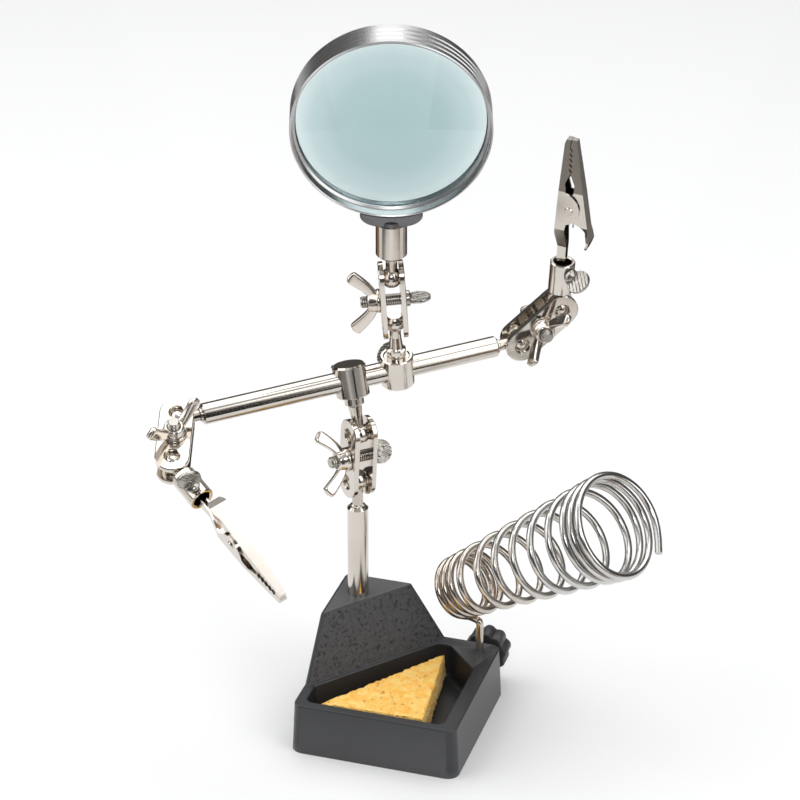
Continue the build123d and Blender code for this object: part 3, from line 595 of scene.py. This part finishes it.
# Each is an inset from the scalloped outline and a height from the knob's back.
KNOB_SIDE = [(5.2, 0.0), (0.7, 0.0), (0.25, 0.15), (0.0, 0.6), (0.0, KNOB_LENGTH - 1.1),
             (0.18, KNOB_LENGTH - 0.55), (0.6, KNOB_LENGTH - 0.18), (1.2, KNOB_LENGTH - 0.02),
             (2.6, KNOB_LENGTH)]
RIM_R, RIM_DROP, DISH_R, DISH_DROP = 4.2, 0.05, 3.7, 0.7


def scalloped_knob():
    """Replaces the knob node: nine rounded lobes, a dished cap and a plain back."""
    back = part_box("holder_knob")[0][1]
    stud = JOINTS["holder_knob_turn"]["pos_m"]
    centre = Vector((stud[0], back, stud[2]))
    mesh = bmesh.new()
    around = KNOB_LOBES * LOBE_SEGMENTS
    rows = []
    for inset, height in KNOB_SIDE:
        row = []
        for i in range(around):
            angle = 2 * math.pi * i / around
            wave = 0.5 + 0.5 * math.cos(KNOB_LOBES * angle)
            row.append(ring_point(mesh, KNOB_R - KNOB_SCALLOP * (1.0 - wave ** 0.6) - inset, angle, height))
        rows.append(row)
    grid_faces(mesh, rows)
    mesh.faces.new(rows[0])
    rim, dish = [], []
    for loop, radius, drop in ((rim, RIM_R, RIM_DROP), (dish, DISH_R, DISH_DROP)):
        for i in range(around):
            loop.append(ring_point(mesh, radius, 2 * math.pi * i / around, KNOB_LENGTH - drop))
    grid_faces(mesh, [rows[-1], rim, dish])
    mesh.faces.new(dish)
    placing = local_frame(centre, (0, 1, 0), (0, 0, 1))
    piece = finish_mesh("holder_knob.moulded", mesh, placing, PLASTIC, 40)
    stand_in(piece, "holder_knob", "holder_knob")


# ---- soldering iron coil ----

WIRE_R = 1.25
LEG_X, LEG_Y = 21.3, 23.2
LEG_BOTTOM_Z, LEG_TOP_Z = 6.0, 28.8
COIL_START = Vector((11.7, 29.1, 36.5))
COIL_HEADING, COIL_RISE = math.radians(-20.0), math.radians(36.4)
COIL_R_SMALL, COIL_R_LARGE = 9.5, 16.7
TIGHT_PITCH_SMALL, OPEN_PITCH, TIGHT_PITCH_LARGE = 3.5, 9.6, 3.9
TIGHT_TURNS, OPEN_TURNS = 3.0, 6.0
START_ANGLE, END_ANGLE = 10.0, 360 * 11 + 328.0
COIL_STEP = 30.0


def coil_advance(turns):
    """Distance along the coil's axis after some turns: close turns at both ends, open ones between."""
    first = min(turns, TIGHT_TURNS)
    middle = min(max(turns - TIGHT_TURNS, 0), OPEN_TURNS)
    last = max(turns - TIGHT_TURNS - OPEN_TURNS, 0)
    return first * TIGHT_PITCH_SMALL + middle * OPEN_PITCH + last * TIGHT_PITCH_LARGE


def wire_curve(name, points, radius, material):
    """A smooth round wire guided by points in millimetres, with closed ends."""
    curve = bpy.data.curves.new(name, "CURVE")
    curve.dimensions = "3D"
    curve.bevel_depth = radius * MM
    curve.bevel_resolution = 6
    curve.resolution_u = 5
    curve.use_fill_caps = True
    spline = curve.splines.new("NURBS")
    spline.points.add(len(points) - 1)
    for spot, point in zip(spline.points, points):
        spot.co = (*(point * MM), 1.0)
    spline.order_u = 4
    spline.use_endpoint_u = True
    wire = bpy.data.objects.new(name, curve)
    bpy.context.scene.collection.objects.link(wire)
    dress(wire, material)
    return wire


def iron_coil():
    """Replaces the coil node: one drawn wire that rises from its leg into a widening helix."""
    axis = heading(COIL_HEADING, COIL_RISE)
    up = Vector((0, 0, 1))
    up = (up - axis * up.dot(axis)).normalized()
    side = axis.cross(up)
    turns = (END_ANGLE - START_ANGLE) / 360
    count = round((END_ANGLE - START_ANGLE) / COIL_STEP)
    # A cubic spline runs inside its control points, so they stand out by this much.
    stand_out = 3 / (2 + math.cos(math.radians(COIL_STEP)))
    helix = []
    for step in range(count + 1):
        part = step / count
        angle = math.radians(START_ANGLE + (END_ANGLE - START_ANGLE) * part)
        along = coil_advance(turns * part)
        radius = (COIL_R_SMALL + (COIL_R_LARGE - COIL_R_SMALL) * along / coil_advance(turns)) * stand_out
        spoke = side * math.sin(angle) - up * math.cos(angle)
        helix.append(COIL_START + axis * along + spoke * radius)
    corner = Vector((LEG_X, LEG_Y, LEG_TOP_Z))
    leg = [Vector((LEG_X, LEG_Y, z)) for z in (LEG_BOTTOM_Z, 14.0, 22.0, LEG_TOP_Z - 2.4, LEG_TOP_Z - 0.7)]
    lead = [corner.lerp(helix[0], t) for t in (0.12, 0.35, 0.7)]
    wire = wire_curve("iron_holder_coil.wire", leg + lead + helix, WIRE_R, WIRE)
    stand_in(wire, "iron_holder_coil", "iron_holder")


# ---- clip springs ----

SPRING_WIRE_R, SPRING_R, SPRING_TURNS = 0.3, 1.55, 3.0
SPRING_HALF, TURN_POINTS = 0.75, 12


def clip_spring(side):
    """Replaces a clip's spring node: a wound torsion spring on the rivet, with a leg for each jaw."""
    joint = JOINTS[f"{side}_jaw_open"]
    axis = Vector(joint["axis"]).normalized()
    pivot = Vector(joint["pos_m"]) / MM
    root = JOINTS[f"{side}_clip_twist"]
    along = Vector(root["axis"]).normalized()
    along = (along - axis * along.dot(axis)).normalized()
    if (pivot - Vector(root["pos_m"]) / MM).dot(along) < 0:
        along = -along
    out = along.cross(axis)
    points = [pivot - out * SPRING_R - along * 6.6 - axis * SPRING_HALF + out * 0.2,
              pivot - out * SPRING_R - along * 3.5 - axis * SPRING_HALF]
    steps = round(SPRING_TURNS * TURN_POINTS) + TURN_POINTS // 2
    for step in range(steps + 1):
        angle = 2 * math.pi * step / TURN_POINTS
        height = SPRING_HALF * (2 * step / steps - 1)
        spoke = -out * math.cos(angle) + along * math.sin(angle)
        points.append(pivot + spoke * SPRING_R * 1.05 + axis * height)
    points += [pivot + out * (SPRING_R + 0.9) - along * 3.2 + axis * SPRING_HALF,
               pivot + out * (SPRING_R + 1.7) - along * 5.2 + axis * SPRING_HALF]
    wire = wire_curve(f"{side}_clip_spring.wound", points, SPRING_WIRE_R, STEEL)
    stand_in(wire, f"{side}_clip_spring", f"{side}_clip")


# ---- sponge ----

SPONGE_CORNERS = [(-20.3, -22.0), (15.4, -21.4), (10.5, 20.0)]
SPONGE_VOXEL = 0.3
SPONGE_INSET = 0.15
TEAR_WAVES = ((0.55, 0.35), (1.9, 0.22), (4.2, 0.12))
PORE_SIZES = ((2.6, 0.85), (1.15, 0.4))


def cut_sponge():
    """Replaces the sponge node: a wedge cut from a cellulose block, with a torn skin and open pores.

    Each level is a height and how far the outline is drawn in there.
    """
    low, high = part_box("sponge")
    floor_z, top_z = low[2] / MM, high[2] / MM
    mesh = bmesh.new()
    middle = sum((Vector(c) for c in SPONGE_CORNERS), Vector((0, 0))) / 3
    levels = [(floor_z + 0.15, 0.985), (floor_z + 2.0, 1.0), (top_z - 1.2, 0.985), (top_z - 0.25, 0.965)]
    rows = []
    for height, shrink in levels:
        rows.append([])
        for start, stop in zip(SPONGE_CORNERS, SPONGE_CORNERS[1:] + SPONGE_CORNERS[:1]):
            for t in (0.0, 0.25, 0.5, 0.75):
                spot = Vector(start).lerp(Vector(stop), t)
                spot = middle + (spot - middle) * shrink
                rows[-1].append(mesh.verts.new((spot.x * MM, spot.y * MM, height * MM)))
    grid_faces(mesh, rows)
    mesh.faces.new(rows[0])
    mesh.faces.new(rows[-1])
    piece = finish_mesh("sponge.cellulose", mesh, Matrix.Identity(4), SPONGE)
    remesh = piece.modifiers.new("remesh", "REMESH")
    remesh.mode = "VOXEL"
    remesh.voxel_size = SPONGE_VOXEL * MM
    ready = piece.evaluated_get(bpy.context.evaluated_depsgraph_get())
    dense = bpy.data.meshes.new_from_object(ready)
    piece.modifiers.clear()
    piece.data = dense
    dense.shade_smooth()
    moves = []
    for vertex in dense.vertices:
        spot = vertex.co / MM
        depth = SPONGE_INSET - sum(noise.noise(spot * pitch) * height for pitch, height in TEAR_WAVES)
        for size, deep in PORE_SIZES:
            gap, seeds = noise.voronoi(spot / size + Vector((size, 7.3, 2.1)))
            wide = 0.22 + 0.16 * noise.noise(seeds[0] * 3.7)
            if gap[0] < wide:
                depth += deep * (1.0 - (gap[0] / wide) ** 2)
        moves.append(-vertex.normal * depth)
    for vertex, move in zip(dense.vertices, moves):
        vertex.co += move * MM
        vertex.co.z = min(max(vertex.co.z, low[2]), high[2])
    stand_in(piece, "sponge", "sponge")


# ---- pieces ----

for joint_name in ("post", "lens", "left", "right"):
    thumb_screw(f"{joint_name}_joint_screw", seat_depth=4.2, length=14.7)
    wing_nut(f"{joint_name}_joint_wing_nut")
for clamp in ("main_clamp", "lens_clamp"):
    thumb_screw(f"{clamp}_screw", seat_depth=6.4, length=2.8)
for arm_side in ("left", "right"):
    thumb_screw(f"{arm_side}_socket_screw", seat_depth=4.6, length=2.0)
    clip_spring(arm_side)
crescent_saddle()
ground_lens()
scalloped_knob()
iron_coil()
cut_sponge()

EASED = {"_jaw": 0.09, "_plate": 0.12}
for node_name, node in NODES.items():
    for ending, width in EASED.items():
        if node_name.endswith(ending):
            bevel = node.modifiers.new("eased edges", "BEVEL")
            bevel.width = width * MM
            bevel.segments = 2
            bevel.limit_method = "ANGLE"
            bevel.angle_limit = math.radians(40)


# ---- camera, floor and light ----

CAMERA_PLACE = (0.26755, -0.85395, 0.59088)
CAMERA_AIM = (0.000544, 0.00017, 0.12046)
CAMERA_LENS, SENSOR_WIDTH = 144, 36
FLOOR_HALF = 6.0


def aim_at(thing, place, aim, forward):
    """Puts a thing at a place, with its forward axis towards an aim and its Y axis upright."""
    thing.location = place
    thing.rotation_mode = "QUATERNION"
    thing.rotation_quaternion = (Vector(aim) - Vector(place)).to_track_quat(forward, "Y")


def stage_sheet(name, corners, colour, roughness, specular):
    """A flat sheet that isn't part of the object, with a matte finish."""
    mesh = bpy.data.meshes.new(name)
    mesh.from_pydata(corners, [], [tuple(range(len(corners)))])
    sheet = bpy.data.objects.new(name, mesh)
    bpy.context.scene.collection.objects.link(sheet)
    s = Shader(name)
    tone = colour(s) if callable(colour) else (*colour, 1)
    dress(sheet, s.finish(Base_Color=tone, Roughness=roughness, Specular_IOR_Level=specular))
    return sheet


def add_camera():
    """The scene's camera, at the place and with the lens that frame the object."""
    data = bpy.data.cameras.new("camera")
    data.lens = CAMERA_LENS
    data.sensor_width = SENSOR_WIDTH
    camera = bpy.data.objects.new("camera", data)
    bpy.context.scene.collection.objects.link(camera)
    aim_at(camera, CAMERA_PLACE, CAMERA_AIM, "-Z")
    bpy.context.scene.camera = camera


def add_light(name, place, size, power, shape=1.0):
    """A rectangular lamp that faces the object; shape is its height over its width."""
    data = bpy.data.lights.new(name, "AREA")
    data.shape = "RECTANGLE"
    data.size = size
    data.size_y = size * shape
    data.energy = power
    lamp = bpy.data.objects.new(name, data)
    bpy.context.scene.collection.objects.link(lamp)
    aim_at(lamp, place, AIM, "-Z")


def add_card(name, place, width, height, colour):
    """A card out of the camera's sight, for the metal and the glass to reflect."""
    x, y = width / 2, height / 2
    card = stage_sheet(name, [(-x, -y, 0), (x, -y, 0), (x, y, 0), (-x, y, 0)], colour, 1.0, 0.0)
    aim_at(card, place, AIM, "Z")
    hide_from_camera(card)


def hide_from_camera(card):
    """Leaves a card to glossy rays alone, so that it neither shows nor shades."""
    card.visible_camera = False
    card.visible_shadow = False
    card.visible_diffuse = False
    card.visible_transmission = False


def add_floor():
    """A wide pale floor with a barely uneven tone."""
    half = FLOOR_HALF
    stage_sheet("floor", [(-half, -half, 0), (half, -half, 0), (half, half, 0), (-half, half, 0)],
                lambda s: s.mix(s.noise(3, 2.0), (0.86, 0.86, 0.86), (0.88, 0.88, 0.88)), 0.8, 0.1)


def add_world():
    """Dim room: lighter overhead, dark around the horizon."""
    world = bpy.data.worlds.new("studio")
    bpy.context.scene.world = world
    world.use_nodes = True
    tree = world.node_tree
    background = tree.nodes["Background"]
    where = tree.nodes.new("ShaderNodeTexCoord")
    split = tree.nodes.new("ShaderNodeSeparateXYZ")
    ramp = tree.nodes.new("ShaderNodeValToRGB")
    tree.links.new(where.outputs["Generated"], split.inputs[0])
    tree.links.new(split.outputs["Z"], ramp.inputs[0])
    marks = ramp.color_ramp.elements
    marks[0].position, marks[0].color = 0.0, (0.10, 0.09, 0.085, 1)
    marks[1].position, marks[1].color = 0.9, (0.75, 0.76, 0.78, 1)
    middle = marks.new(0.42)
    middle.color = (0.12, 0.12, 0.12, 1)
    tree.links.new(ramp.outputs[0], background.inputs[0])
    background.inputs[1].default_value = 0.7


def add_card_ring(inner, outer, height, tones):
    """Grey cards laid in a ring on the floor outside the camera's view, for the metal to reflect."""
    count = len(tones)
    for index, tone in enumerate(tones):
        turns = [2 * math.pi * (index + part / 4) / count for part in range(5)]
        corners = [(inner * math.cos(t), inner * math.sin(t), height) for t in turns]
        corners += [(outer * math.cos(t), outer * math.sin(t), height) for t in reversed(turns)]
        hide_from_camera(stage_sheet(f"floor card {index}", corners, tone, 1.0, 0.0))


AIM = (0.0, 0.0, 0.12)
DARK = (0.012, 0.011, 0.010)
GREY = (0.22, 0.21, 0.20)
PALE = (0.70, 0.69, 0.67)
WARM = (0.22, 0.13, 0.07)
bpy.context.scene.view_settings.view_transform = "Standard"
add_camera()
add_floor()
add_world()
add_light("key", (-0.95, -0.25, 0.80), size=1.4, power=9.6)
add_light("fill", (0.95, -0.35, 0.65), size=0.75, power=5.0, shape=1.5)
add_light("top", (0.05, 0.45, 1.25), size=1.4, power=10.6)
add_light("front strip", (0.35, -1.15, 0.95), size=0.35, power=2.6)
add_card("left dark card", (-0.75, 0.15, 0.2), width=0.30, height=0.7, colour=DARK)
add_card("right dark card", (0.62, -0.62, 0.2), width=0.16, height=0.7, colour=DARK)
add_card_ring(inner=0.24, outer=0.9, height=0.0005,
              tones=[PALE, GREY, DARK, PALE, DARK, WARM, PALE, DARK, GREY, PALE, DARK, WARM])
